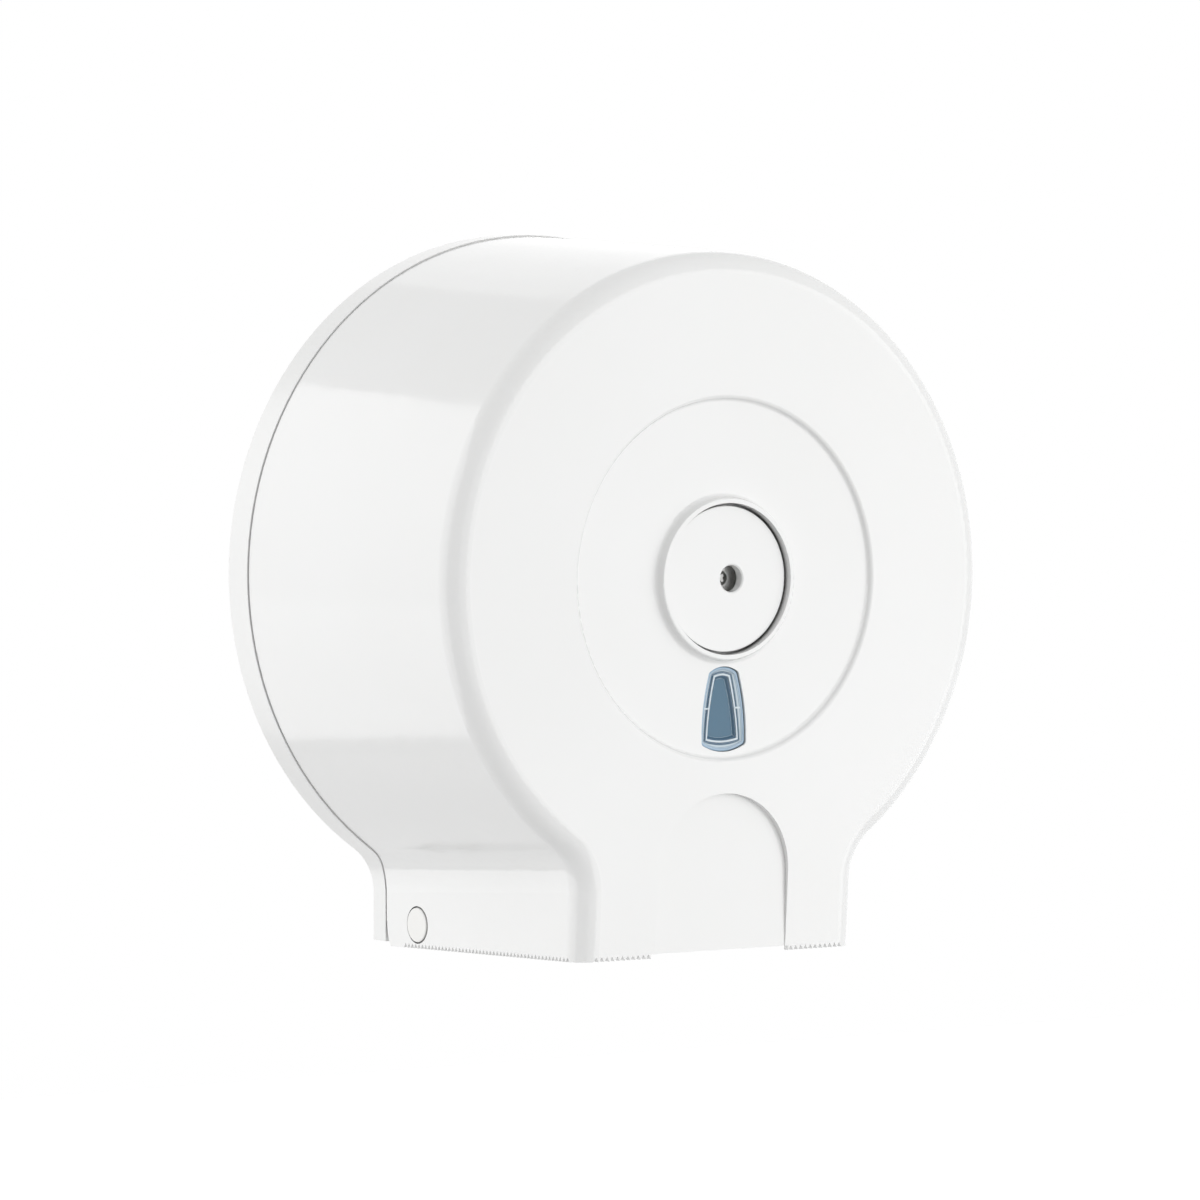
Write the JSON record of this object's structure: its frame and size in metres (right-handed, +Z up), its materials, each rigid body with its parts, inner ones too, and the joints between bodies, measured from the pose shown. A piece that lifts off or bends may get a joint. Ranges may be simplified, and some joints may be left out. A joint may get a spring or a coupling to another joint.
{
  "type": "jumbo toilet roll dispenser",
  "caption": "Wall-mounted drum-shaped dispenser for a jumbo toilet roll, with a hinged lockable cover, blue level window and saw-toothed lower edge.",
  "frame": {"origin": "drum axis at the wall plane, on the back plate's rear face", "axes": "+Z up, -Y towards the front of the dispenser, +X to the right seen from the front"},
  "size_m": [0.273, 0.1537, 0.2886],
  "materials": {
    "white_cover": "glossy moulded white",
    "white_base": "glossy moulded white",
    "pin_plastic": "warm white moulded",
    "hub_plastic": "satin moulded",
    "blue_clear": "clear tinted plastic",
    "lock_metal": "machined zinc alloy",
    "bracket_steel": "zinc plated",
    "screw_steel": "zinc plated"
  },
  "bodies": {
    "base": {"back_plate": "white_base", "spindle": "hub_plastic", "spindle_screws": "screw_steel", "hub_washer": "hub_plastic", "end_washer": "bracket_steel", "keeper_bracket": "bracket_steel", "keeper_screws": "screw_steel", "hinge_pin_right": "pin_plastic", "hinge_pin_left": "pin_plastic", "pin_washer_right": "bracket_steel", "pin_washer_left": "bracket_steel"},
    "hub": {"roll_hub": "hub_plastic"},
    "cover": {"front_cover": "white_cover", "level_window": "blue_clear", "centre_cap": "white_cover", "lock_housing": "hub_plastic", "lock_housing_screws": "screw_steel"},
    "lock": {"lock_barrel": "lock_metal", "lock_clip": "screw_steel", "latch_cam": "bracket_steel", "latch_washer": "screw_steel", "latch_screw": "screw_steel"}
  },
  "joints": [
    {"name": "cover_hinge", "type": "hinge", "parent": "base", "child": "cover", "pos_m": [0, -0.0318, -0.1421], "axis": [1, 0, 0], "range_deg": [0, 95]},
    {"name": "hub_spin", "type": "hinge", "parent": "base", "child": "hub", "pos_m": [0, -0.06, 0], "axis": [0, 1, 0], "continuous": true},
    {"name": "lock_turn", "type": "hinge", "parent": "cover", "child": "lock", "pos_m": [0.0029, -0.135, 0], "axis": [0, -1, 0], "range_deg": [0, 90]}
  ]
}
